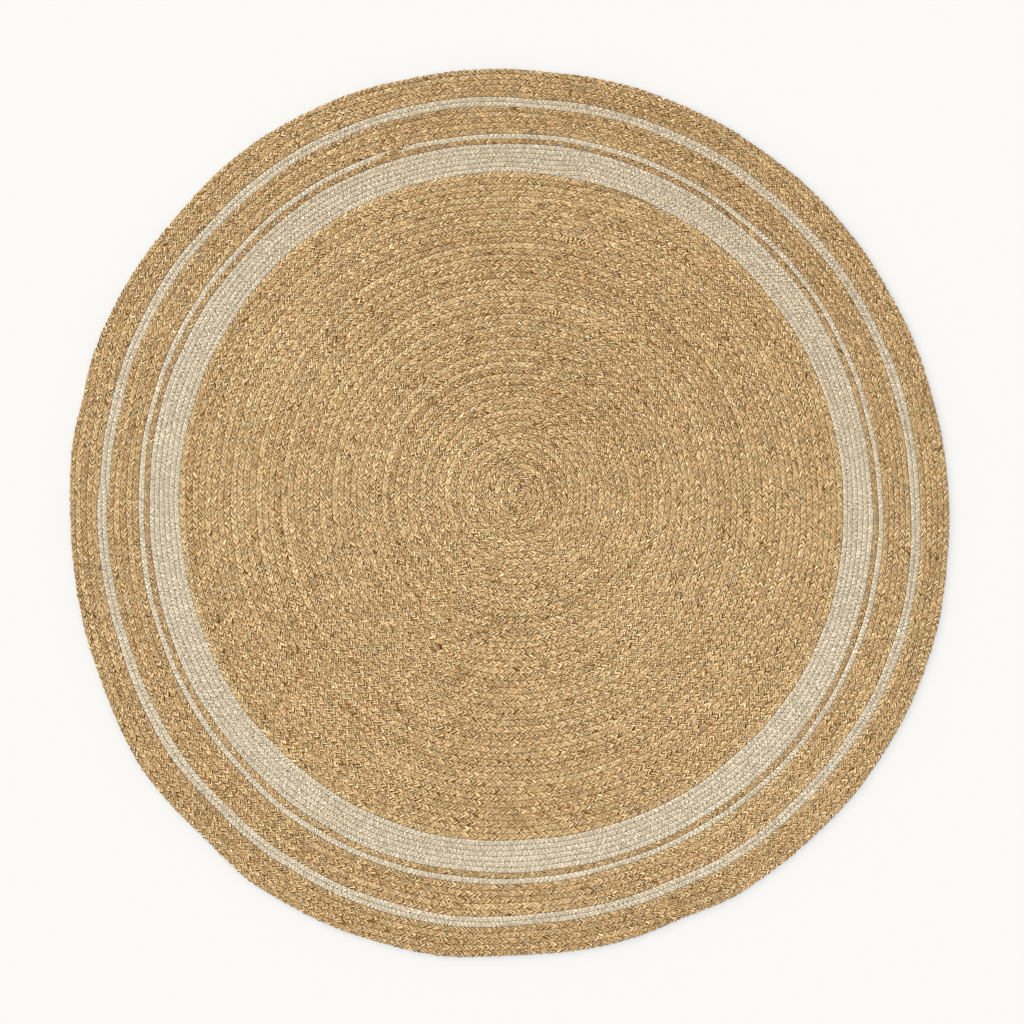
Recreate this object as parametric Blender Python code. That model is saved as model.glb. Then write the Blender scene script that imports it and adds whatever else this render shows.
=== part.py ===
"""Round jute rug: one flat spiral of plaited cord, sewn round to round.

Metres, +Z up. The underside lies on the plane Z = 0, and the origin is under the middle of the
rug's box. +Y is the top of the photograph. Angles are in degrees, anticlockwise from +X, seen from
above. Each stripe of one yarn is its own closed solid, with a rib for every round of the braid.
"""
import math
from collections import namedtuple

import bmesh
import bpy

# Width of one round of braid, which is also the distance from groove to groove. The rounds of the
# field lie a little looser than those of the bands around it.
FIELD_ROUND = 0.01045
JUTE_ROUND = 0.0099
COTTON_ROUND = 0.0086

# Height of a rib's crest and of the sewn groove between two rounds.
JUTE_CREST = 0.0090
COTTON_CREST = 0.0084
GROOVE_HEIGHT = 0.0056

# Air left between two stripes, and the rounded-off foot of the rug's outer edge.
STRIPE_GAP = 0.0003
EDGE_HEIGHT = 0.0046
EDGE_FOOT_INSET = 0.0016

# The spiral starts off centre, so that its rounds lie closer towards the top of the photograph. The
# power says how the middle of each round drifts back, mostly in the outer bands.
EYE_OFFSET_X = 0.0178
EYE_OFFSET_Y = 0.0345
EYE_DRIFT_POWER = 1.4

# Slow waves of the hand-sewn outline: waves per turn, depth at the edge, and angle of a crest.
Wave = namedtuple("Wave", "per_turn depth crest_deg")
WAVES = (
    Wave(2, 0.0039, 104),
    Wave(3, 0.0037, 115),
    Wave(4, 0.0034, 52),
    Wave(5, 0.0009, 36),
    Wave(8, 0.0008, 28),
)

# Sections around one turn. Rounds nearer to the eye need only a half or a quarter of them.
SECTIONS = 60
QUARTER_ROUNDS = 14
HALF_ROUNDS = 28

# A stripe's braid ends move over by one round within this much of a turn. The field is a true
# spiral instead, up to the share of its rounds where it starts to settle into closed rounds.
JOIN_TURN = 0.05
TRUE_SPIRAL_SHARE = 0.6

# Stripes from the middle outwards: yarn, rounds of braid and their width, and the angle at which the
# braid is joined.
Stripe = namedtuple("Stripe", "name yarn rounds round_width join_deg")
STRIPES = (
    Stripe("jute_field", "jute", 54, FIELD_ROUND, 78),
    Stripe("cream_band_wide", "cotton", 6, COTTON_ROUND, 78),
    Stripe("jute_round_single", "jute", 1, JUTE_ROUND, 108),
    Stripe("cream_round_single", "cotton", 1, COTTON_ROUND, 108),
    Stripe("jute_band_middle", "jute", 5, JUTE_ROUND, 138),
    Stripe("cream_stripe_double", "cotton", 2, COTTON_ROUND, 174),
    Stripe("jute_band_outer", "jute", 5, JUTE_ROUND, 162),
)

Yarn = namedtuple("Yarn", "crest color roughness")
YARNS = {
    "jute": Yarn(JUTE_CREST, (0.51, 0.34, 0.17, 1.0), 0.78),
    "cotton": Yarn(COTTON_CREST, (0.62, 0.51, 0.36, 1.0), 0.88),
}

RUG_RADIUS = sum(stripe.rounds * stripe.round_width for stripe in STRIPES)
WELD_DISTANCE = 0.00002


def smooth_step(value):
    """Ease from 0 to 1 while the value goes from 0 to 1."""
    value = min(max(value, 0.0), 1.0)
    return value * value * (3.0 - 2.0 * value)


def lay_on_floor(radius, angle):
    """Place of a point of an ideal round spiral, in the real one with its slow waves."""
    share = radius / RUG_RADIUS
    wave = sum(
        w.depth * math.cos(w.per_turn * (angle - math.radians(w.crest_deg))) for w in WAVES
    )
    reach = radius + wave * share * share
    off_centre = 1.0 - share**EYE_DRIFT_POWER
    return (
        EYE_OFFSET_X * off_centre + reach * math.cos(angle),
        EYE_OFFSET_Y * off_centre + reach * math.sin(angle),
    )


def rounds_moved(stripe, groove, turn):
    """How many rounds further in a groove lies after this share of an anticlockwise turn."""
    jog = smooth_step((turn - 1.0 + JOIN_TURN) / JOIN_TURN)
    if stripe is not STRIPES[0]:
        return jog
    outwards = (groove / stripe.rounds - TRUE_SPIRAL_SHARE) / (1.0 - TRUE_SPIRAL_SHARE)
    return turn + (jog - turn) * smooth_step(outwards)


def groove_radius(stripe, inner, outer, groove, turn):
    """Radius of a groove, kept within the stripe's two edges."""
    radius = inner + stripe.round_width * (groove - rounds_moved(stripe, groove, turn))
    return min(max(radius, inner), outer)


def top_point(stripe, inner, outer, rank, turn):
    """Radius and height on the ribbed top, where even ranks are grooves and odd ones crests."""
    yarn = YARNS[stripe.yarn]
    if rank % 2 == 0:
        return groove_radius(stripe, inner, outer, rank // 2, turn), GROOVE_HEIGHT
    low = groove_radius(stripe, inner, outer, rank // 2, turn)
    high = groove_radius(stripe, inner, outer, rank // 2 + 1, turn)
    fullness = min((high - low) / stripe.round_width, 1.0)
    return (low + high) / 2.0, GROOVE_HEIGHT + (yarn.crest - GROOVE_HEIGHT) * fullness


def settled_turn(stripe, rank, step):
    """Share of the turn for a section, with the small inner rounds on fewer sections."""
    coarse = 1
    if stripe is STRIPES[0]:
        if rank <= 2 * QUARTER_ROUNDS:
            coarse = 4
        elif rank <= 2 * HALF_ROUNDS:
            coarse = 2
    return (step // coarse) * coarse / SECTIONS


def stripe_mesh(stripe, inner, outer):
    """Closed ribbed ring, or disc, bent from a flat grid: along the turn by around the section."""
    inner_edge = inner + STRIPE_GAP / 2.0 if inner > 0.0 else 0.0
    is_rim = stripe is STRIPES[-1]
    outer_edge = outer if is_rim else outer - STRIPE_GAP / 2.0
    top_ranks = 2 * stripe.rounds + 3
    foot = outer_edge - (EDGE_FOOT_INSET if is_rim else 0.0)
    around = top_ranks + 2

    bm = bmesh.new()
    bmesh.ops.create_grid(bm, x_segments=SECTIONS, y_segments=around, size=0.5)
    for vert in bm.verts:
        step = round((vert.co.x + 0.5) * SECTIONS)
        rank = round((vert.co.y + 0.5) * around)
        if rank == around:
            rank = 0
        turn = settled_turn(stripe, rank, step) if rank < top_ranks else step / SECTIONS
        if rank == top_ranks:
            radius, height = foot, 0.0
        elif rank == top_ranks + 1:
            radius, height = inner_edge, 0.0
        else:
            radius, height = top_point(stripe, inner_edge, outer_edge, rank, turn)
            if is_rim and radius >= outer_edge:
                height = EDGE_HEIGHT
        angle = math.radians(stripe.join_deg) + 2.0 * math.pi * turn
        place = lay_on_floor(radius, angle)
        vert.co = (place[0], place[1], height)
    bmesh.ops.remove_doubles(bm, verts=bm.verts, dist=WELD_DISTANCE)
    bmesh.ops.recalc_face_normals(bm, faces=bm.faces)

    mesh = bpy.data.meshes.new(stripe.name)
    bm.to_mesh(mesh)
    bm.free()
    return mesh


def yarn_material(name):
    """Plain finish of one yarn."""
    yarn = YARNS[name]
    material = bpy.data.materials.new(name + "_braid")
    material.use_nodes = True
    shader = material.node_tree.nodes["Principled BSDF"]
    shader.inputs["Base Color"].default_value = yarn.color
    shader.inputs["Roughness"].default_value = yarn.roughness
    shader.inputs["Metallic"].default_value = 0.0
    material.diffuse_color = yarn.color
    return material


def centre_on_origin(meshes):
    """Shift every stripe alike, so that the middle of the rug's box is over the origin."""
    places = [vert.co for mesh in meshes for vert in mesh.vertices]
    middle_x = (min(p.x for p in places) + max(p.x for p in places)) / 2.0
    middle_y = (min(p.y for p in places) + max(p.y for p in places)) / 2.0
    for mesh in meshes:
        for vert in mesh.vertices:
            vert.co.x -= middle_x
            vert.co.y -= middle_y


def build_rug():
    """Model every stripe and put it in the rug's collection."""
    for old in list(bpy.data.objects):
        bpy.data.objects.remove(old, do_unlink=True)
    collection = bpy.data.collections.new("round_jute_rug")
    bpy.context.scene.collection.children.link(collection)

    materials = {name: yarn_material(name) for name in YARNS}
    meshes = []
    inner = 0.0
    for stripe in STRIPES:
        outer = inner + stripe.rounds * stripe.round_width
        mesh = stripe_mesh(stripe, inner, outer)
        mesh.materials.append(materials[stripe.yarn])
        meshes.append(mesh)
        inner = outer
    centre_on_origin(meshes)

    for mesh in meshes:
        mesh.shade_smooth()
        mesh.set_sharp_from_angle(angle=math.radians(50.0))
        collection.objects.link(bpy.data.objects.new(mesh.name, mesh))


build_rug()
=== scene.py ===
"""Looks of the round jute rug: plaited cords laid as a spiral, their yarns, and the light on them."""

import math
from collections import namedtuple

import bpy
import numpy as np
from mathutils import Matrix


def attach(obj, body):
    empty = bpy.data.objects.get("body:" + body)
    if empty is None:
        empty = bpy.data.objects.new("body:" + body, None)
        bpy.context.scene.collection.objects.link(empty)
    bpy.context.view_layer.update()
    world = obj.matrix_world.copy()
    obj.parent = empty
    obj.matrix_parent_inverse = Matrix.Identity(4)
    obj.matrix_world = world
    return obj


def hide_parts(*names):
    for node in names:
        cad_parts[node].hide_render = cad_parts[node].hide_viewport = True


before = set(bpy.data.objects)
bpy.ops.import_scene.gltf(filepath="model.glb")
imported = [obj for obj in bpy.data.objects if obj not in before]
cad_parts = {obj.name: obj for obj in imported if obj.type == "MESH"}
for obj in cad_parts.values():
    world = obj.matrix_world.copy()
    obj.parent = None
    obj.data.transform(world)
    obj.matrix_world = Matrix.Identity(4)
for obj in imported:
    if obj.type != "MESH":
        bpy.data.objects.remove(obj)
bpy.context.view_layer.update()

# ---------------------------------------------------------------- the rug's layout, in metres
# The spiral of the solids: stripes from the middle outwards, the angle at which each braid is joined,
# and how much of a turn the join takes. Five joins are shorter than in the solids and at other angles,
# because they were measured more closely in the photograph.
Stripe = namedtuple("Stripe", "name yarn rounds round_width join_deg join_turn")
STRIPES = (
    Stripe("jute_field", "jute", 54, 0.01045, 78, 0.05),
    Stripe("cream_band_wide", "cotton", 6, 0.0086, 84, 0.022),
    Stripe("jute_round_single", "jute", 1, 0.0099, 84, 0.022),
    Stripe("cream_round_single", "cotton", 1, 0.0086, 108, 0.05),
    Stripe("jute_band_middle", "jute", 5, 0.0099, 143, 0.03),
    Stripe("cream_stripe_double", "cotton", 2, 0.0086, 179, 0.0125),
    Stripe("jute_band_outer", "jute", 5, 0.0099, 166, 0.03),
)
FIELD = STRIPES[0]
RIM_BAND = STRIPES[-1]
RUG_RADIUS = sum(stripe.rounds * stripe.round_width for stripe in STRIPES)

# The field is a true spiral up to this share of its rounds, and then settles into closed rounds.
TRUE_SPIRAL_SHARE = 0.6

# The eye lies off centre, and the middle of each round drifts back by this power.
EYE_OFFSET_X = 0.0178
EYE_OFFSET_Y = 0.0345
EYE_DRIFT_POWER = 1.4

# Slow waves of the outline, which die out towards the eye.
Wave = namedtuple("Wave", "per_turn depth crest_deg")
WAVES = (
    Wave(2, 0.0039, 104),
    Wave(3, 0.0037, 115),
    Wave(4, 0.0034, 52),
    Wave(5, 0.0009, 36),
    Wave(8, 0.0008, 28),
)

# Places around the rim at which the solids are measured for the middle of their box.
SECTIONS = 60

# Local lumps and dips of the hand-sewn edge, and how far inwards they reach.
Lump = namedtuple("Lump", "at_deg half_width_deg push")
LUMPS = (
    Lump(30, 6, -0.0016),
    Lump(60, 5, 0.0013),
    Lump(68, 12, 0.0010),
    Lump(85, 4, -0.0028),
    Lump(136, 5, -0.0034),
    Lump(154, 7, 0.0012),
    Lump(165, 3, -0.0022),
    Lump(180, 8, -0.0012),
    Lump(200, 7, -0.0024),
    Lump(215, 4, 0.0032),
    Lump(226, 4, -0.0024),
    Lump(235, 3, 0.0020),
    Lump(262, 4, 0.0028),
    Lump(272, 4, -0.0018),
    Lump(294, 4, -0.0038),
    Lump(301, 3, 0.0018),
    Lump(325, 12, -0.0015),
)
LUMP_REACH = 0.16

# The double stripe steps inwards at its join and works its way out again round the turn. Rounds
# within this reach of it follow.
STEP_DEG = 174.5
STEP_TURN = 0.014
STEP_RADIUS = 0.6925
STEP_REACH = 0.055
STEP_DEPTH = 0.0019

# Small meanders of the rounds, which neighbours share: depth, waves per turn, how far they turn for
# each metre outwards, and where they start. They die out in the calm middle.
Meander = namedtuple("Meander", "depth per_turn per_metre start")
MEANDERS = (
    Meander(0.00060, 9, 41.0, 1.3),
    Meander(0.00042, 17, -67.0, 0.0),
    Meander(0.00036, 29, 90.0, 4.0),
)
CALM_RADIUS = 0.08


def smooth_step(value):
    """Ease from 0 to 1 while the value goes from 0 to 1."""
    value = np.clip(value, 0.0, 1.0)
    return value * value * (3.0 - 2.0 * value)


def slow_waves(radius, angle):
    """How far the slow waves push a point outwards."""
    share = radius / RUG_RADIUS
    push = sum(w.depth * np.cos(w.per_turn * (angle - math.radians(w.crest_deg))) for w in WAVES)
    return push * share * share


def edge_lumps(radius, angle):
    """How far the lumps and dips of the edge push a point outwards."""
    push = np.zeros_like(radius)
    for lump in LUMPS:
        away = np.degrees(np.angle(np.exp(1j * (angle - math.radians(lump.at_deg)))))
        push = push + lump.push * np.exp(-((away / lump.half_width_deg) ** 2))
    return push * smooth_step(1.0 - (RUG_RADIUS - radius) / LUMP_REACH)


def stripe_step(radius, angle):
    """How far the step of the double stripe pushes a point outwards."""
    turned = np.mod(math.radians(STEP_DEG) - angle, 2.0 * math.pi) / (2.0 * math.pi)
    saw = 2.0 * turned - 1.0 - 2.0 * smooth_step((turned - 1.0 + STEP_TURN) / STEP_TURN)
    away = np.clip((radius - STEP_RADIUS) / STEP_REACH, -1.0, 1.0)
    return STEP_DEPTH * saw * np.cos(away * math.pi / 2.0) ** 2


def round_meanders(radius, angle):
    """How far the meanders of the rounds push a point outwards."""
    push = sum(m.depth * np.sin(m.per_turn * angle + m.per_metre * radius + m.start) for m in MEANDERS)
    return push * smooth_step(radius / CALM_RADIUS)


def lay_flat(radius, angle):
    """Place on the floor of a point of the ideal spiral, before the rug is centred."""
    off_centre = 1.0 - (radius / RUG_RADIUS) ** EYE_DRIFT_POWER
    reach = radius + slow_waves(radius, angle)
    return (
        EYE_OFFSET_X * off_centre + reach * np.cos(angle),
        EYE_OFFSET_Y * off_centre + reach * np.sin(angle),
    )


def rug_middle():
    """Middle of the outline's box, which the solids also have over the origin."""
    angle = np.radians(np.arange(SECTIONS) * 360.0 / SECTIONS)
    x, y = lay_flat(np.full(SECTIONS, RUG_RADIUS), angle)
    return (x.min() + x.max()) / 2.0, (y.min() + y.max()) / 2.0


MIDDLE_X, MIDDLE_Y = rug_middle()


def lay_on_floor(radius, angle):
    """Place on the floor of a point of the ideal spiral, with the rug's small unevenness."""
    x, y = lay_flat(radius, angle)
    push = edge_lumps(radius, angle) + stripe_step(radius, angle) + round_meanders(radius, angle)
    return x - MIDDLE_X + push * np.cos(angle), y - MIDDLE_Y + push * np.sin(angle)


# ---------------------------------------------------------------- courses of the cords
class Course:
    """The two edges of one coiled cord, along clockwise turns from the inner end of its stripe."""

    def __init__(self, stripe, inner, outer):
        self.stripe = stripe
        self.inner = inner
        self.outer = outer
        self.width = stripe.round_width
        self.turns = stripe.rounds + stripe.join_turn

    def groove_radius(self, groove, turn):
        """Radius of a groove after this share of an anticlockwise turn."""
        join = self.stripe.join_turn
        moved = smooth_step((turn - 1.0 + join) / join)
        if self.stripe is FIELD:
            outwards = (groove / self.stripe.rounds - TRUE_SPIRAL_SHARE) / (1.0 - TRUE_SPIRAL_SHARE)
            moved = turn + (moved - turn) * smooth_step(outwards)
        return np.clip(self.inner + self.width * (groove - moved), self.inner, self.outer)

    def edges(self, travelled):
        """Inner radius, outer radius and angle of the cord after these clockwise turns."""
        groove = np.floor(travelled)
        turn = 1.0 - (travelled - groove)
        angle = math.radians(self.stripe.join_deg) + 2.0 * math.pi * turn
        return self.groove_radius(groove, turn), self.groove_radius(groove + 1.0, turn), angle

    def lift(self, travelled):
        """A coiled round lies on the floor."""
        return np.zeros_like(travelled)


class Track:
    """The two edges of one loose length of cord, clockwise through given places."""

    def __init__(self, stripe, places):
        self.stripe = stripe
        self.places = places
        self.width = stripe.round_width
        self.turns = (places[0].at_deg - places[-1].at_deg) / 360.0

    def along(self, travelled, field):
        """A value of the places after these clockwise turns."""
        gone = [self.places[0].at_deg - place.at_deg for place in self.places]
        return np.interp(travelled * 360.0, gone, [getattr(place, field) for place in self.places])

    def edges(self, travelled):
        """Inner radius, outer radius and angle of the cord after these clockwise turns."""
        angle = np.radians(self.places[0].at_deg - travelled * 360.0)
        return self.along(travelled, "inner"), self.along(travelled, "outer"), angle

    def lift(self, travelled):
        """How far the cord lies above or below its neighbours."""
        return self.along(travelled, "lift")


# ---------------------------------------------------------------- plaited cords
# One plait: length of a lobe, rows of mesh for one lobe and for one section of the underside, how
# many lobes the edges run ahead of the middle, heights across, and depths of the creases.
Plait = namedtuple("Plait", "lobe rows unit lean groove shoulder ridge crease split tip")
PLAITS = {
    "jute": Plait(0.0125, 4, 4, 0.68, 0.0086, 0.0090, 0.0089, 0.0005, 0.0001, 0.0001),
    "cotton": Plait(0.0074, 4, 4, 0.46, 0.0079, 0.0087, 0.0087, 0.0004, 0.0001, 0.0001),
}

# Shares of a cord's width: the columns of its top, half of its foot, and the braid coordinates of the
# foot's two edges, which are as if the plait ran on round the sides.
ACROSS = np.array([-0.5, -0.3, -0.09, 0.09, 0.3, 0.5])
FOOT_HALF_WIDTH = 0.01
FOOT_ACROSS = (-0.35, 1.35)

# A cord starts and ends where it is this wide, and its first and last lobes straighten.
END_WIDTH = 0.0014
END_LOBES = 3.0

# Places along a course at which its length is measured.
SAMPLES_PER_TURN = 720
LEAST_SAMPLES = 60

# Spread of the lengths and heights of lobes and rows, and limits of a row's length.
LOBE_PACE = 0.12
ROW_PACE = 0.10
LEAST_PACE = 0.4
MOST_PACE = 1.6
LOBE_UNEVENNESS = 0.0003
ROW_UNEVENNESS = 0.00015

# Nubs of the rim: how deep, how far they all stand back, and their spread.
RIM_NUB = 0.0011
RIM_BACK = 0.6
RIM_SPREAD = 0.4

# Shares: of a yarn's crease that reaches the cord's edge, of the middle's dip that never closes, and of
# a lobe's unevenness at the middle.
EDGE_SPLIT_SHARE = 0.4
TIP_SHARE = 0.3
MIDDLE_UNEVEN_SHARE = 0.5

Cord = namedtuple("Cord", "points braid coil quads triangles caps")


def row_places(begin, finish, rows, plait, random):
    """Places of the rows along the cord: both edges run ahead of the middle, in a chevron."""
    pace = np.repeat(random.normal(1.0, LOBE_PACE, rows // plait.rows + 1), plait.rows)[: rows - 1]
    pace = np.clip(pace + random.normal(0.0, ROW_PACE, rows - 1), LEAST_PACE, MOST_PACE)
    along = np.concatenate([[0.0], np.cumsum(pace)])
    along = begin + along * (finish - begin) / along[-1]
    from_end = np.minimum(np.arange(rows), rows - 1 - np.arange(rows))
    ends = smooth_step(from_end / (END_LOBES * plait.rows))
    lean = plait.lean * plait.lobe * 2.0 * np.abs(ACROSS)
    places = along[:, None] + ends[:, None] * (lean[None, :] - lean.mean())
    return along, np.clip(places, begin, finish)


def crease_shares(rows, plait):
    """How far each row lies in a crease of the left lobes and of the right ones."""
    phase = np.arange(rows) % plait.rows / plait.rows
    swing = np.cos(2.0 * math.pi * phase)
    return np.maximum(swing, 0.0), np.maximum(-swing, 0.0)


def top_heights(rows, plait, random):
    """Heights of an arched section. Deep creases part the lobes, shallow ones their two yarns."""
    left, right = crease_shares(rows, plait)
    lobe = np.arange(rows) // plait.rows
    uneven = random.normal(0.0, LOBE_UNEVENNESS, (2, lobe.max() + 2))
    rough = random.normal(0.0, ROW_UNEVENNESS, (rows, len(ACROSS)))
    tops = np.array([plait.groove, plait.shoulder, plait.ridge, plait.ridge, plait.shoulder, plait.groove])
    height = np.repeat(tops[None, :], rows, axis=0) + rough
    height[:, 0] -= plait.crease * left + EDGE_SPLIT_SHARE * plait.split * right
    height[:, 1] -= plait.crease * left + plait.split * right - uneven[0, lobe]
    height[:, 2] -= plait.tip * (TIP_SHARE + left) - MIDDLE_UNEVEN_SHARE * uneven[0, lobe]
    height[:, 3] -= plait.tip * (TIP_SHARE + right) - MIDDLE_UNEVEN_SHARE * uneven[1, lobe]
    height[:, 4] -= plait.crease * right + plait.split * left - uneven[1, lobe]
    height[:, 5] -= plait.crease * right + EDGE_SPLIT_SHARE * plait.split * left
    return height


def foot_points(course, travelled):
    """Underside of a cord: a narrow flat foot, which stays on the floor where the cord dips."""
    low, high, angle = course.edges(travelled)
    height = np.maximum(course.lift(travelled), 0.0)
    feet = []
    for side in (-FOOT_HALF_WIDTH, FOOT_HALF_WIDTH):
        x, y = lay_on_floor(low + (side + 0.5) * (high - low), angle)
        feet.append(np.stack([x, y, height], axis=-1))
    return np.stack(feet, axis=1).reshape(-1, 3)


def braid_coordinates(rows, foot_rows, plait):
    """Lobes along the cord and share of its width, for the points of its top and of its foot."""
    top = (
        np.repeat(np.arange(rows)[:, None] / plait.rows, len(ACROSS), axis=1),
        np.repeat(ACROSS[None, :] + 0.5, rows, axis=0),
    )
    foot = (
        np.repeat(foot_rows[:, None] / plait.rows, 2, axis=1),
        np.repeat([FOOT_ACROSS], len(foot_rows), axis=0),
    )
    return np.concatenate([np.stack(part, axis=-1).reshape(-1, 2) for part in (top, foot)])


def cord_faces(rows, units, unit):
    """Faces of a cord: quads on top and underneath, triangles on the sides, and two end caps."""
    columns = len(ACROSS)
    top = np.arange(rows * columns).reshape(rows, columns)
    foot = rows * columns + np.arange((units + 1) * 2).reshape(units + 1, 2)
    quads = np.concatenate(
        [
            np.stack([top[:-1, :-1], top[1:, :-1], top[1:, 1:], top[:-1, 1:]], axis=-1).reshape(-1, 4),
            np.stack([foot[:-1, 0], foot[:-1, 1], foot[1:, 1], foot[1:, 0]], axis=-1),
        ]
    )
    triangles = []
    for edge, side, turned in ((top[:, 0], 0, False), (top[:, -1], 1, True)):
        rim = np.stack([edge[i : i + units * unit : unit] for i in range(unit)] + [edge[unit::unit]], axis=1)
        here, there = foot[:-1, side], foot[1:, side]
        fan = [(rim[:, i], here if i < unit // 2 else there, rim[:, i + 1]) for i in range(unit)]
        fan.append((rim[:, unit // 2], here, there))
        for corners in fan:
            triangles.append(np.stack(corners[::-1] if turned else corners, axis=-1))
    start = [*top[0, :], foot[0, 1], foot[0, 0]]
    end = [*top[-1, ::-1], foot[-1, 0], foot[-1, 1]]
    return quads, np.concatenate(triangles), [start, end]


def make_cord(course, start, end, plait, seed):
    """One plaited cord between two places of a course."""
    samples = np.linspace(start, end, max(int((end - start) * SAMPLES_PER_TURN), LEAST_SAMPLES))
    low, high, angle = course.edges(samples)
    x, y = lay_on_floor((low + high) / 2.0, angle)
    distance = np.concatenate([[0.0], np.cumsum(np.hypot(np.diff(x), np.diff(y)))])
    wide = np.nonzero(high - low > END_WIDTH)[0]
    begin, finish = distance[wide[0]], distance[wide[-1]]
    units = max(int(round((finish - begin) / (plait.lobe * plait.unit / plait.rows))), 2)
    rows = units * plait.unit + 1
    random = np.random.default_rng(seed)

    along, places = row_places(begin, finish, rows, plait, random)
    travelled = np.interp(places, distance, samples)
    low, high, angle = course.edges(travelled)
    radius = low + (ACROSS[None, :] + 0.5) * (high - low)
    if course.stripe is RIM_BAND:
        right = crease_shares(rows, plait)[1]
        nubs = RIM_NUB * (-RIM_BACK - right + random.normal(0.0, RIM_SPREAD, rows))
        radius[:, -1] += np.where(high[:, -1] >= course.outer, nubs, 0.0)
    x, y = lay_on_floor(radius, angle)
    fullness = np.clip((high - low) / course.width, 0.0, 1.0)
    height = plait.groove + (top_heights(rows, plait, random) - plait.groove) * fullness
    height = height + course.lift(travelled)
    top = np.stack([x, y, height], axis=-1).reshape(-1, 3)

    foot_rows = np.arange(units + 1) * plait.unit
    foot_travelled = np.interp(along[foot_rows], distance, samples)
    points = np.concatenate([top, foot_points(course, foot_travelled)])
    turns = np.concatenate([travelled.ravel(), np.repeat(foot_travelled, 2)])
    coil = np.stack([turns, np.zeros_like(turns)], axis=-1)
    braid = braid_coordinates(rows, foot_rows, plait)
    return Cord(points, braid, coil, *cord_faces(rows, units, plait.unit))


def new_piece(name, cords, material):
    """One mesh piece from cords, with their braid and coil coordinates as its UV maps."""
    corners, sizes = [], []
    first = 0
    for cord in cords:
        corners += [(cord.quads + first).ravel(), (cord.triangles + first).ravel()]
        corners += [np.array(cap) + first for cap in cord.caps]
        sizes += [4] * len(cord.quads) + [3] * len(cord.triangles) + [len(cap) for cap in cord.caps]
        first += len(cord.points)
    points = np.concatenate([cord.points for cord in cords])
    corners = np.concatenate(corners)

    mesh = bpy.data.meshes.new(name)
    mesh.vertices.add(len(points))
    mesh.vertices.foreach_set("co", points.astype(np.float32).ravel())
    mesh.loops.add(len(corners))
    mesh.loops.foreach_set("vertex_index", corners.astype(np.int32))
    mesh.polygons.add(len(sizes))
    starts = np.concatenate([[0], np.cumsum(sizes)[:-1]])
    mesh.polygons.foreach_set("loop_start", starts.astype(np.int32))
    mesh.update(calc_edges=True)
    mesh.validate()
    for label in ("braid", "coil"):
        coordinates = np.concatenate([getattr(cord, label) for cord in cords])
        layer = mesh.uv_layers.new(name=label)
        layer.data.foreach_set("uv", coordinates[corners].astype(np.float32).ravel())
    mesh.shade_smooth()
    mesh.materials.append(material)
    piece = bpy.data.objects.new(name, mesh)
    bpy.context.scene.collection.objects.link(piece)
    return piece


# ---------------------------------------------------------------- shader nodes
# A smooth noise and a white one between 0 and 1 are spread about zero by these.
NOISE_SPREAD = 7.0
WHITE_SPREAD = 3.4


def add_node(tree, kind, label, **settings):
    """A labelled node with plain properties."""
    node = tree.nodes.new(kind)
    node.label = label
    for key, value in settings.items():
        setattr(node, key, value)
    return node


def feed(tree, socket, value):
    """Give an input a plain number or vector, or link a socket to it."""
    if isinstance(value, bpy.types.NodeSocket):
        tree.links.new(value, socket)
    else:
        socket.default_value = value


def math_node(tree, operation, label, first, second=None, third=None):
    """Output of a Math node on sockets or plain numbers."""
    node = add_node(tree, "ShaderNodeMath", label, operation=operation)
    for socket, value in zip(node.inputs, (first, second, third)):
        if value is not None:
            feed(tree, socket, value)
    return node.outputs[0]


def combined(tree, label, *parts):
    """A vector of sockets or plain numbers."""
    node = add_node(tree, "ShaderNodeCombineXYZ", label)
    for socket, part in zip(node.inputs, parts):
        feed(tree, socket, part)
    return node.outputs[0]


def parted(tree, label, vector):
    """The three numbers of a vector."""
    node = add_node(tree, "ShaderNodeSeparateXYZ", label)
    tree.links.new(vector, node.inputs[0])
    return node.outputs


def mapped(tree, label, value, low, high, to_low=0.0, to_high=1.0, kind="SMOOTHSTEP"):
    """A clamped Map Range on a socket."""
    node = add_node(tree, "ShaderNodeMapRange", label, interpolation_type=kind)
    feed(tree, node.inputs["Value"], value)
    feed(tree, node.inputs["From Min"], low)
    feed(tree, node.inputs["From Max"], high)
    feed(tree, node.inputs["To Min"], to_low)
    feed(tree, node.inputs["To Max"], to_high)
    return node.outputs[0]


def white_noise(tree, label, *parts):
    """One random value for each combination of parts."""
    node = add_node(tree, "ShaderNodeTexWhiteNoise", label, noise_dimensions="3D")
    feed(tree, node.inputs["Vector"], combined(tree, label + " key", *parts))
    return node.outputs["Value"]


def white_tone(tree, label, noise):
    """White noise spread about zero."""
    return math_node(tree, "MULTIPLY_ADD", label, noise, WHITE_SPREAD, -WHITE_SPREAD / 2.0)


def smooth_tone(tree, label, vector, scale=1.0, detail=2.0, roughness=0.55):
    """Smooth noise spread about zero."""
    node = add_node(tree, "ShaderNodeTexNoise", label, noise_dimensions="3D")
    feed(tree, node.inputs["Scale"], scale)
    feed(tree, node.inputs["Detail"], detail)
    feed(tree, node.inputs["Roughness"], roughness)
    feed(tree, node.inputs["Vector"], vector)
    noise = node.outputs["Fac"]
    return math_node(tree, "MULTIPLY_ADD", label + " spread", noise, NOISE_SPREAD, -NOISE_SPREAD / 2.0)


def weighted_sum(tree, label, parts):
    """Sum of sockets, each times its weight."""
    total = 0.0
    for number, (value, weight) in enumerate(parts):
        name = "{} {}".format(label, number + 1)
        if number == 0:
            total = math_node(tree, "MULTIPLY", name, value, weight)
        else:
            total = math_node(tree, "MULTIPLY_ADD", name, value, weight, total)
    return total


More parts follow.
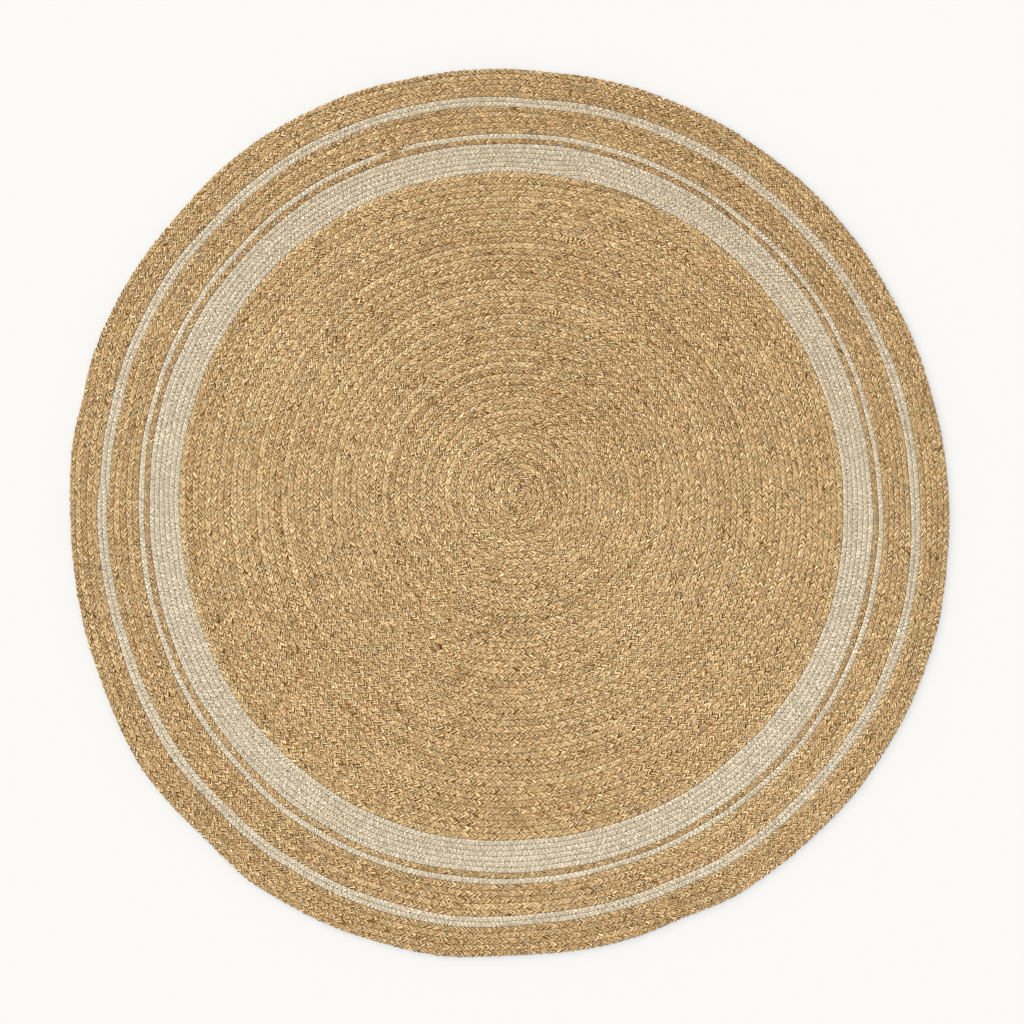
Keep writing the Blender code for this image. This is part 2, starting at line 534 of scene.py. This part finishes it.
def new_group(name, inputs, outputs, output_kind="Float"):
    """An empty shader group with typed inputs, and outputs that are all of one kind."""
    tree = bpy.data.node_groups.new(name, "ShaderNodeTree")
    for label, kind in inputs:
        tree.interface.new_socket(label, in_out="INPUT", socket_type="NodeSocket" + kind)
    for label in outputs:
        tree.interface.new_socket(label, in_out="OUTPUT", socket_type="NodeSocket" + output_kind)
    given = add_node(tree, "NodeGroupInput", "from the material")
    out = add_node(tree, "NodeGroupOutput", "to the material")
    return tree, given.outputs, out.inputs


def use_group(tree, group, label, **values):
    """Outputs of a group placed in a material, with its inputs fed."""
    node = add_node(tree, "ShaderNodeGroup", label, node_tree=group)
    for name, value in values.items():
        feed(tree, node.inputs[name.replace("_", " ")], value)
    return node.outputs


# ---------------------------------------------------------------- effects that the yarns share
# Bends of the plait: how many to a lobe, and how much closer together they lie across a cord.
BENDS_PER_LOBE = 1.8
BENDS_ACROSS = 1.7

# A lobe is one unit long, and the right lobes lie this much further on than the left ones.
LOBE_STEP = 0.5
STRANDS = 3.0

# How fast slow changes of tone run along a cord, for each lobe, and how far apart in the noise the
# strands and the two sides lie.
STRAND_PACE = 0.11
ARC_PACE = 0.02
SEAM_PACE = 0.16
STRANDS_APART = 7.3
SEAMS_APART = 5.3
FIBRES_APART = 5.7

# Fibres: how much finer than a tuft they are, and how many fit across a cord.
Fibre = namedtuple("Fibre", "name fineness across")
FIBRES = (
    Fibre("Tufts", 1.0, 1.5),
    Fibre("Hairs", 1.7, 2.4),
)

# Neighbouring rounds differ most in tone along one stretch of the turn: where it lies, in radians,
# and how much the difference swings.
STRETCH_PHASE = 0.82
STRETCH_SWING = 0.45


def warp_group():
    """Braid coordinates bent a little, so that no two lobes are alike."""
    inputs = (("Braid", "Vector"), ("Seed", "Float"), ("Bend", "Vector"))
    tree, given, out = new_group("hand_unevenness", inputs, ("Bent",), "Vector")
    along, across, _ = parted(tree, "along and across", given["Braid"])
    scaled = math_node(tree, "MULTIPLY", "across scaled", across, BENDS_ACROSS)
    noise = add_node(tree, "ShaderNodeTexNoise", "bends", noise_dimensions="3D")
    feed(tree, noise.inputs["Scale"], BENDS_PER_LOBE)
    feed(tree, noise.inputs["Detail"], 1.0)
    feed(tree, noise.inputs["Vector"], combined(tree, "bend key", along, scaled, given["Seed"]))
    centred = add_node(tree, "ShaderNodeVectorMath", "about zero", operation="SUBTRACT")
    feed(tree, centred.inputs[0], noise.outputs["Color"])
    feed(tree, centred.inputs[1], (0.5, 0.5, 0.5))
    bent = add_node(tree, "ShaderNodeVectorMath", "bent", operation="MULTIPLY_ADD")
    for socket, value in zip(bent.inputs, (centred.outputs[0], given["Bend"], given["Braid"])):
        feed(tree, socket, value)
    feed(tree, out["Bent"], bent.outputs[0])
    return tree


def lobe_group():
    """Which lobe and yarn of the plait a point is on, and how near it is to their creases."""
    outputs = ("Along", "Side", "Crease", "Round", "Middle", "Edge")
    outputs += ("Lobe Tone", "Yarn Tone", "Strand Tone", "Round Tone", "Seam Shade", "Speck")
    inputs = (("Braid", "Vector"), ("Seed", "Float"), ("Lean", "Float"))
    tree, given, out = new_group("plait_lobes", inputs, outputs)
    row, across, _ = parted(tree, "along and across", given["Braid"])
    seed = given["Seed"]
    lean = given["Lean"]
    off = math_node(tree, "SUBTRACT", "off middle", across, 0.5)
    far = math_node(tree, "ABSOLUTE", "away from middle", off)

    # The line where left and right lobes meet zigzags along the strokes of both.
    slope = math_node(tree, "MULTIPLY", "slope", lean, 2.0)
    straight = math_node(tree, "MULTIPLY_ADD", "straight along", far, slope, row)
    shifted = math_node(tree, "SUBTRACT", "shifted", straight, LOBE_STEP / 2.0)
    wave = math_node(tree, "PINGPONG", "zigzag", shifted, LOBE_STEP)
    swing = math_node(tree, "MULTIPLY_ADD", "swing", wave, 2.0 / LOBE_STEP, -1.0)
    reach = math_node(tree, "DIVIDE", "reach of the zigzag", LOBE_STEP / 4.0, lean)
    zigzag = math_node(tree, "MULTIPLY", "zigzag line", swing, reach)
    off_line = math_node(tree, "SUBTRACT", "off the zigzag", off, zigzag)
    side = math_node(tree, "GREATER_THAN", "right side", off_line, 0.0)
    sign = math_node(tree, "MULTIPLY_ADD", "sign", side, -2.0, 1.0)
    other_side = math_node(tree, "MULTIPLY", "on the other side", off, sign)
    beyond = math_node(tree, "MAXIMUM", "past the middle", other_side, 0.0)
    twice = math_node(tree, "MULTIPLY", "twice the slope", slope, 2.0)
    along = math_node(tree, "MULTIPLY_ADD", "along the stroke's row", beyond, twice, row)

    # Each lobe holds two yarns, which arch side by side.
    place = math_node(tree, "MULTIPLY_ADD", "lobe place", side, LOBE_STEP, along)
    number = math_node(tree, "FLOOR", "lobe number", place)
    phase = math_node(tree, "FRACT", "across the lobe", place)
    off_crest = math_node(tree, "SUBTRACT", "off the crest", phase, 0.5)
    from_crest = math_node(tree, "ABSOLUTE", "from the crest", off_crest)
    half_turn = math_node(tree, "MULTIPLY", "half a turn for each yarn", from_crest, 2.0 * math.pi)
    arched = math_node(tree, "SINE", "arch of each yarn", half_turn)
    order = math_node(tree, "MULTIPLY_ADD", "lobe order", number, 2.0, side)
    strand = math_node(tree, "MODULO", "strand", order, STRANDS)
    halves = math_node(tree, "MULTIPLY", "halves", phase, 2.0)
    yarn = math_node(tree, "ADD", "yarn", math_node(tree, "FLOOR", "yarn number", halves), 1.0)

    strand_row = math_node(tree, "MULTIPLY", "slow along a strand", row, STRAND_PACE)
    strand_off = math_node(tree, "MULTIPLY", "strands apart", strand, STRANDS_APART)
    strand_place = combined(tree, "strand place", strand_row, strand_off, seed)
    arc_row = math_node(tree, "MULTIPLY", "slow along an arc", row, ARC_PACE)
    arc_place = combined(tree, "arc place", arc_row, 0.5, seed)
    seam_row = math_node(tree, "MULTIPLY", "slow along a seam", row, SEAM_PACE)
    seam_off = math_node(tree, "MULTIPLY", "seams apart", side, SEAMS_APART)
    seam_place = combined(tree, "seam place", seam_row, seam_off, seed)
    yarn_noise = white_noise(tree, "yarn tone", order, yarn, seed)
    values = {
        "Along": along,
        "Side": side,
        "Crease": math_node(tree, "MULTIPLY", "crease share", from_crest, 2.0),
        "Round": math_node(tree, "MULTIPLY", "roundness of the two yarns", arched, arched),
        "Middle": math_node(tree, "ABSOLUTE", "from the zigzag", off_line),
        "Edge": math_node(tree, "MULTIPLY", "edge share", far, 2.0),
        "Lobe Tone": white_tone(tree, "lobe spread", white_noise(tree, "lobe tone", order, 0.0, seed)),
        "Yarn Tone": white_tone(tree, "yarn spread", yarn_noise),
        "Strand Tone": smooth_tone(tree, "strand tone", strand_place),
        "Round Tone": smooth_tone(tree, "round tone", arc_place),
        # Noise along the seam, which deepens its painted shade in stretches.
        "Seam Shade": smooth_tone(tree, "seam wear", seam_place, detail=1.0),
        "Speck": yarn_noise,
    }
    for name in outputs:
        feed(tree, out[name], values[name])
    return tree


def fibre_group():
    """Fibres that run along the yarns: coarse tufts and fine hairs, both about zero.

    Each is the step between two noises, a lighter and a darker stripe side by side. In the tone this
    is partly the fibres' own tone and partly painted light and shade, as it runs with their relief.
    """
    inputs = tuple((name, "Float") for name in ("Along", "Across", "Side", "Seed", "Tufts Per Lobe"))
    tree, given, out = new_group("yarn_fibres", inputs, [fibre.name for fibre in FIBRES])
    level = math_node(tree, "MULTIPLY_ADD", "side's own noise", given["Side"], FIBRES_APART, given["Seed"])
    for fibre in FIBRES:
        name = fibre.name
        scaled = math_node(tree, "MULTIPLY", name + " scaled", given["Along"], given["Tufts Per Lobe"])
        along = math_node(tree, "MULTIPLY", name + " along", scaled, fibre.fineness)
        next_along = math_node(tree, "ADD", name + " half a fibre on", along, 0.5)
        across = math_node(tree, "MULTIPLY", name + " across", given["Across"], fibre.across)
        here_key = combined(tree, name + " key", along, across, level)
        next_key = combined(tree, name + " next key", next_along, across, level)
        here = smooth_tone(tree, name, here_key, detail=0.0)
        there = smooth_tone(tree, name + " next", next_key, detail=0.0)
        feed(tree, out[name], math_node(tree, "SUBTRACT", name + " step", here, there))
    return tree


def coil_group():
    """Which round of the coil a point is on: neighbours differ, most along one stretch of the turn."""
    inputs = (("Coil", "Vector"), ("Seed", "Float"))
    tree, given, out = new_group("coil_rounds", inputs, ("Neighbour Tone", "Own Tone"))
    turns = parted(tree, "turns", given["Coil"])[0]
    number = math_node(tree, "FLOOR", "round number", turns)
    odd = math_node(tree, "MODULO", "odd round", number, 2.0)
    swing = math_node(tree, "MULTIPLY_ADD", "odd or even", odd, 2.0, -1.0)
    angle = math_node(tree, "MULTIPLY", "angle", turns, 2.0 * math.pi)
    stretch = math_node(tree, "COSINE", "stretch", math_node(tree, "ADD", "turned", angle, STRETCH_PHASE))
    share = math_node(tree, "MULTIPLY_ADD", "share of it", stretch, STRETCH_SWING, 1.0 - STRETCH_SWING)
    feed(tree, out["Neighbour Tone"], math_node(tree, "MULTIPLY", "neighbours", swing, share))
    own = white_noise(tree, "own tone", number, 0.0, given["Seed"])
    feed(tree, out["Own Tone"], white_tone(tree, "own spread", own))
    return tree


WARP_GROUP = warp_group()
COIL_GROUP = coil_group()
LOBE_GROUP = lobe_group()
FIBRE_GROUP = fibre_group()

# ---------------------------------------------------------------- yarns
# Colours of a yarn from its darkest crease to its brightest fibre, at tones from -3 to 3, and the
# weights of what makes the tone. Its darkest tones are mostly painted shade in creases, valleys and
# seams, and its brightest partly painted highlight on the crests and on a few yarns.
Yarn = namedtuple("Yarn", "colours tufts_per_lobe seed weights roughness specular sheen bump")
Weights = namedtuple(
    "Weights",
    "bulge crease dots knots wear speck glint arcs ridge valley middle edge lobe yarn strand"
    " tufts hairs patches neighbours rounds level",
)
TONES = (-3.0, -2.0, -1.0, 0.0, 1.0, 2.0, 3.0)
YARNS = {
    "jute": Yarn(
        colours=(
            (0.09, 0.036, 0.009),
            (0.20, 0.091, 0.025),
            (0.345, 0.182, 0.069),
            (0.505, 0.301, 0.142),
            (0.69, 0.457, 0.230),
            (0.88, 0.635, 0.340),
            (1.00, 0.795, 0.490),
        ),
        tufts_per_lobe=3.9,
        seed=3.0,
        # Among these weights, those of crests and a few bright yarns paint highlight, those of creases,
        # valleys, the zigzag and the seam paint shade, and the rest are the yarn's own tones.
        weights=Weights(
            bulge=0.1,
            crease=-0.3,
            dots=-1.5,
            knots=-0.4,
            wear=-1.5,
            speck=-2.6,
            glint=0.9,
            arcs=0.30,
            ridge=1.3,
            valley=-0.7,
            middle=-0.1,
            edge=-0.3,
            lobe=0.06,
            yarn=0.20,
            strand=0.09,
            tufts=1.5,
            hairs=1.0,
            patches=0.08,
            neighbours=0.30,
            rounds=0.08,
            level=0.10,
        ),
        roughness=0.75,
        specular=0.0,
        sheen=0.0,
        bump=0.0012,
    ),
    "cotton": Yarn(
        colours=(
            (0.20, 0.145, 0.075),
            (0.31, 0.24, 0.14),
            (0.45, 0.360, 0.240),
            (0.60, 0.490, 0.362),
            (0.77, 0.655, 0.505),
            (0.89, 0.79, 0.64),
            (0.96, 0.88, 0.72),
        ),
        tufts_per_lobe=2.6,
        seed=11.0,
        # Among these weights, those of crests and a few bright yarns paint highlight, those of creases,
        # valleys, the zigzag and the seam paint shade, and the rest are the yarn's own tones.
        weights=Weights(
            bulge=0.2,
            crease=-0.4,
            dots=-2.8,
            knots=-1.8,
            wear=0.0,
            speck=-0.6,
            glint=0.3,
            arcs=0.15,
            ridge=0.8,
            valley=-0.2,
            middle=-0.8,
            edge=-1.1,
            lobe=0.10,
            yarn=0.22,
            strand=0.10,
            tufts=0.9,
            hairs=0.5,
            patches=0.08,
            neighbours=0.03,
            rounds=0.05,
            level=0.22,
        ),
        roughness=0.85,
        specular=0.3,
        sheen=0.05,
        bump=0.0009,
    ),
}

# How much lighter or darker a stripe's yarn is than the others of its kind.
STRIPE_LEVELS = {
    "jute_round_single": -0.30,
    "jute_band_middle": -0.08,
    "jute_band_outer": -0.15,
}

# How far the plait is bent by hand, along and across, in lobes and in shares of a cord's width.
HAND_BEND = (0.40, 0.15, 0.0)

# Faded patches for each metre of rug, and the spread of the roughness about a yarn's own, which is
# full at this tone.
PATCH_SCALE = 7.0
ROUGHNESS_SPREAD = 0.12
ROUGHNESS_TONE = 2.0

# Masks on the plait: which output they read, and where they start and are full. Most of them mark
# painted light and shade: highlight on the crest of a lobe and on a few yarns, and shade near a crease,
# the zigzag, the seam, its darker stretches and between the yarns. The dark speck is the yarn's own.
Mask = namedtuple("Mask", "label output starts full")
MASKS = {
    "bulge": Mask("crest of the lobe", "Crease", 1.0, 0.0),
    # Painted shade near the creases between lobes.
    "crease": Mask("near a crease", "Crease", 0.65, 1.0),
    # Painted shade along the zigzag where the left and right lobes meet.
    "middle": Mask("near the zigzag", "Middle", 0.09, 0.0),
    # Painted shade along the seam between rounds.
    "edge": Mask("near the seam", "Edge", 0.78, 1.0),
    # Painted shade in the seam, deeper along some stretches.
    "shaded": Mask("worn stretch", "Seam Shade", 0.8, 1.5),
    "speck": Mask("dark speck", "Speck", 0.985, 0.99),
    # Painted highlight on a few of the yarns.
    "glint": Mask("painted glint", "Speck", 0.10, 0.02),
    # Painted shade in the valley between the two yarns of a lobe.
    "valley": Mask("between yarns", "Round", 0.35, 0.0),
}

# Heights of what stands out on a cord, as shares of its yarn's bump.
RELIEF = {
    "bulge": 0.25,
    "ridge": 0.8,
    "crease": -0.15,
    "middle": -0.2,
    "tufts": 0.38,
    "hairs": 0.06,
}


def tone_parts(tree, seed, tufts_per_lobe, lean):
    """Everything that lightens or darkens a yarn, by the names of its weights: the yarn's own tones,
    painted highlight on the crests and painted shade in the creases, valleys and seams.
    """
    braid = add_node(tree, "ShaderNodeUVMap", "braid coordinates", uv_map="braid")
    coil = add_node(tree, "ShaderNodeUVMap", "coil coordinates", uv_map="coil")
    place = add_node(tree, "ShaderNodeTexCoord", "rug coordinates")
    straight = braid.outputs["UV"]
    bent = use_group(tree, WARP_GROUP, "bends", Braid=straight, Seed=seed, Bend=HAND_BEND)["Bent"]
    lobes = use_group(tree, LOBE_GROUP, "lobes", Braid=bent, Seed=seed, Lean=lean)
    rounds = use_group(tree, COIL_GROUP, "rounds", Coil=coil.outputs["UV"], Seed=seed)
    fibres = use_group(
        tree,
        FIBRE_GROUP,
        "fibres",
        Along=lobes["Along"],
        Across=parted(tree, "along and across", bent)[1],
        Side=lobes["Side"],
        Seed=seed,
        Tufts_Per_Lobe=tufts_per_lobe,
    )
    mask = {}
    for name, row in MASKS.items():
        mask[name] = mapped(tree, row.label, lobes[row.output], row.starts, row.full)
    on_rug = place.outputs["Object"]
    return {
        # Painted highlight on the crest of each lobe, where the relief stands highest.
        "bulge": mask["bulge"],
        # Painted shade in the creases between lobes.
        "crease": mask["crease"],
        # Painted shade where the creases meet the seam.
        "dots": math_node(tree, "MULTIPLY", "dots at the seam", mask["crease"], mask["edge"]),
        # Painted shade where the creases meet the middle of the plait.
        "knots": math_node(tree, "MULTIPLY", "dots at the middle", mask["crease"], mask["middle"]),
        # Painted shade in the seam between rounds, deeper along some stretches.
        "wear": math_node(tree, "MULTIPLY", "worn seam", mask["shaded"], mask["edge"]),
        "speck": mask["speck"],
        # Painted highlight on a few of the yarns.
        "glint": mask["glint"],
        "arcs": lobes["Round Tone"],
        # Painted highlight on the crest of each yarn, where the relief stands highest.
        "ridge": lobes["Round"],
        # Painted shade in the valley between the two yarns of a lobe.
        "valley": mask["valley"],
        # Painted shade along the zigzag where the left and right lobes meet.
        "middle": mask["middle"],
        # Painted shade along the seam between rounds.
        "edge": mask["edge"],
        "lobe": lobes["Lobe Tone"],
        "yarn": lobes["Yarn Tone"],
        "strand": lobes["Strand Tone"],
        # Fibre tones: partly the fibres' own, partly painted light and shade that follows their relief.
        "tufts": fibres["Tufts"],
        "hairs": fibres["Hairs"],
        "patches": smooth_tone(tree, "faded patches", on_rug, scale=PATCH_SCALE, detail=3.0),
        "neighbours": rounds["Neighbour Tone"],
        "rounds": rounds["Own Tone"],
    }


def colour_ramp(tree, tone, colours):
    """Colour of a yarn at a tone."""
    ramp = add_node(tree, "ShaderNodeValToRGB", "yarn colours")
    stops = ramp.color_ramp.elements
    while len(stops) < len(TONES):
        stops.new(0.5)
    for stop, value, colour in zip(stops, TONES, colours):
        stop.position = (value - TONES[0]) / (TONES[-1] - TONES[0])
        stop.color = (*colour, 1.0)
    feed(tree, ramp.inputs[0], mapped(tree, "ramp place", tone, TONES[0], TONES[-1], kind="LINEAR"))
    return ramp.outputs["Color"]


def yarn_material(stripe):
    """Finish of one stripe: a tone made of painted shade in the creases, painted highlight on the
    crests, the own tones of lobes, strands and fibres, and its colours.
    """
    yarn = YARNS[stripe.yarn]
    material = bpy.data.materials.new(stripe.name + "_yarn")
    material.use_nodes = True
    tree = material.node_tree
    shader = tree.nodes["Principled BSDF"].inputs
    parts = tone_parts(tree, yarn.seed, yarn.tufts_per_lobe, PLAITS[stripe.yarn].lean)
    weighed = [(value, getattr(yarn.weights, name)) for name, value in parts.items()]
    level = yarn.weights.level + STRIPE_LEVELS.get(stripe.name, 0.0)
    tone = math_node(tree, "ADD", "level", weighted_sum(tree, "tone", weighed), level)
    feed(tree, shader["Base Color"], colour_ramp(tree, tone, yarn.colours))

    bump = add_node(tree, "ShaderNodeBump", "fibre relief")
    feed(tree, bump.inputs["Distance"], yarn.bump)
    feed(tree, bump.inputs["Strength"], 1.0)
    relief = weighted_sum(tree, "relief", [(parts[name], height) for name, height in RELIEF.items()])
    feed(tree, bump.inputs["Height"], relief)
    feed(tree, shader["Normal"], bump.outputs["Normal"])
    roughest = yarn.roughness + ROUGHNESS_SPREAD
    smoothest = yarn.roughness - ROUGHNESS_SPREAD
    rough = mapped(tree, "roughness", tone, -ROUGHNESS_TONE, ROUGHNESS_TONE, roughest, smoothest)
    feed(tree, shader["Roughness"], rough)
    feed(tree, shader["Specular IOR Level"], yarn.specular)
    feed(tree, shader["Sheen Weight"], yarn.sheen)
    return material


# ---------------------------------------------------------------- the rug's pieces
# The field is three pieces, parted at these turns.
FIELD_PARTS = ("inner", "middle", "outer")
FIELD_SPLITS = (0.0, 31.0, 44.0, FIELD.rounds + FIELD.join_turn)

# Loose lengths of cord, clockwise. The single cream round is cut, and the single jute round crosses
# there into the middle band.
Place = namedtuple("Place", "at_deg inner outer lift")
CREAM_ROUND = (
    Place(107.49, 0.6246, 0.6344, 0.0),
    Place(-252.49, 0.6246, 0.6344, 0.0),
)
CROSSING = (
    Place(114.0, 0.6170, 0.6250, -0.0016),
    Place(111.3, 0.6170, 0.6255, 0.0003),
    Place(104.8, 0.6340, 0.6430, 0.0003),
    Place(102.0, 0.6346, 0.6430, -0.0016),
)
AREA_SAMPLES = 2000
FIRST_SEED = 100
SEEDS_PER_STRIPE = 10


def finish_piece(piece, node):
    """Ride and replacement of one stripe piece."""
    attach(piece, "root")
    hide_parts(node)


def flat_area(track):
    """Area that a loose length of cord covers."""
    travelled = np.linspace(0.0, track.turns, AREA_SAMPLES)
    low, high, _ = track.edges(travelled)
    return float(np.mean((high - low) * (low + high) / 2.0) * track.turns * 2.0 * math.pi)


def ring_courses(stripe, inner, outer):
    """Courses of the cords of a ring-shaped stripe, and the stripe's flat length and area."""
    length = math.pi * (inner + outer)
    area = math.pi * (outer * outer - inner * inner)
    if stripe.name == "cream_round_single":
        cut_round = Track(stripe, CREAM_ROUND)
        return [cut_round], length, flat_area(cut_round)
    if stripe.name == "jute_round_single":
        narrowed = Course(stripe, inner, CREAM_ROUND[0].inner)
        narrowed.width = narrowed.outer - narrowed.inner
        crossing = Track(stripe, CROSSING)
        length += crossing.turns * 2.0 * math.pi * max(place.outer for place in CROSSING)
        return [narrowed, crossing], length, area + flat_area(crossing)
    return [Course(stripe, inner, outer)], length, area


def make_ring(stripe, inner, outer, seed):
    """All the plaited rounds of one ring-shaped stripe, as one piece."""
    courses, length, area = ring_courses(stripe, inner, outer)
    plait = PLAITS[stripe.yarn]
    cords = [make_cord(course, 0.0, course.turns, plait, seed + n) for n, course in enumerate(courses)]
    piece = new_piece(stripe.name + "_plait", cords, yarn_material(stripe))
    finish_piece(piece, stripe.name)


def make_field(seed):
    """The field's long spiral, as three pieces of one cord."""
    course = Course(FIELD, 0.0, FIELD.rounds * FIELD.round_width)
    material = yarn_material(FIELD)
    for part, start, end in zip(FIELD_PARTS, FIELD_SPLITS, FIELD_SPLITS[1:]):
        cord = make_cord(course, start, end, PLAITS[FIELD.yarn], seed)
        piece = new_piece(FIELD.name + "_" + part, [cord], material)
        finish_piece(piece, FIELD.name)
        seed += 1


# ---------------------------------------------------------------- floor, light and camera
FLOOR_SIZE = 14.0
FLOOR_HEIGHT = -0.0002
FLOOR_COLOUR = (0.746, 0.746, 0.766, 1.0)
SKY_STRENGTH = 0.70
SKY_COLOUR = (1.0, 0.840, 0.630, 1.0)

# A broad warm lamp that shades softly, and a narrow cool one that only picks out the relief. On a
# flat floor they and the sky add up to white.
Lamp = namedtuple("Lamp", "name strength azimuth_deg elevation_deg width_deg shades colour")
LAMPS = (
    Lamp("window_light", 1.20, 147, 62, 90, True, (1.0, 0.90, 0.75)),
    Lamp("relief_light", 2.03, 147, 30, 10, False, (0.796, 1.210, 1.584)),
)

PHOTO_WIDTH_PX = 1024
METRES_PER_PIXEL = 0.001692
RUG_MIDDLE_IN_PHOTO = (509.0, 513.0)
LENS_MM = 85.0
SENSOR_MM = 36.0


def make_floor():
    """Plain pale floor."""
    bpy.ops.mesh.primitive_plane_add(size=FLOOR_SIZE, location=(0.0, 0.0, FLOOR_HEIGHT))
    floor = bpy.context.object
    floor.name = "studio_floor"
    material = bpy.data.materials.new("pale_floor")
    material.use_nodes = True
    shader = material.node_tree.nodes["Principled BSDF"]
    shader.inputs["Base Color"].default_value = FLOOR_COLOUR
    shader.inputs["Roughness"].default_value = 0.9
    shader.inputs["Specular IOR Level"].default_value = 0.1
    floor.data.materials.append(material)


def make_light():
    """Soft daylight from the upper left and an even sky."""
    world = bpy.data.worlds.new("soft_studio")
    bpy.context.scene.world = world
    world.use_nodes = True
    sky = world.node_tree.nodes["Background"]
    sky.inputs["Color"].default_value = SKY_COLOUR
    sky.inputs["Strength"].default_value = SKY_STRENGTH
    for lamp in LAMPS:
        data = bpy.data.lights.new(lamp.name, "SUN")
        data.energy = lamp.strength
        data.angle = math.radians(lamp.width_deg)
        data.color = lamp.colour
        data.use_shadow = lamp.shades
        sun = bpy.data.objects.new(lamp.name, data)
        bpy.context.scene.collection.objects.link(sun)
        tilt = math.radians(90.0 - lamp.elevation_deg)
        sun.rotation_euler = (0.0, tilt, math.radians(lamp.azimuth_deg))


def make_camera():
    """Camera straight above, framed as the photograph is."""
    data = bpy.data.cameras.new("overhead")
    data.lens = LENS_MM
    data.sensor_width = SENSOR_MM
    camera = bpy.data.objects.new("overhead", data)
    bpy.context.scene.collection.objects.link(camera)
    off_x = (PHOTO_WIDTH_PX / 2.0 - RUG_MIDDLE_IN_PHOTO[0]) * METRES_PER_PIXEL
    off_y = (RUG_MIDDLE_IN_PHOTO[1] - PHOTO_WIDTH_PX / 2.0) * METRES_PER_PIXEL
    height = PHOTO_WIDTH_PX * METRES_PER_PIXEL * LENS_MM / SENSOR_MM
    camera.location = (off_x, off_y, height)
    bpy.context.scene.camera = camera


make_floor()
make_light()
make_camera()
bpy.context.scene.view_settings.view_transform = "Standard"

inner_radius = 0.0
for number, stripe in enumerate(STRIPES):
    outer_radius = inner_radius + stripe.rounds * stripe.round_width
    first_seed = FIRST_SEED + SEEDS_PER_STRIPE * number
    if stripe is FIELD:
        make_field(first_seed)
    else:
        make_ring(stripe, inner_radius, outer_radius, first_seed)
    inner_radius = outer_radius
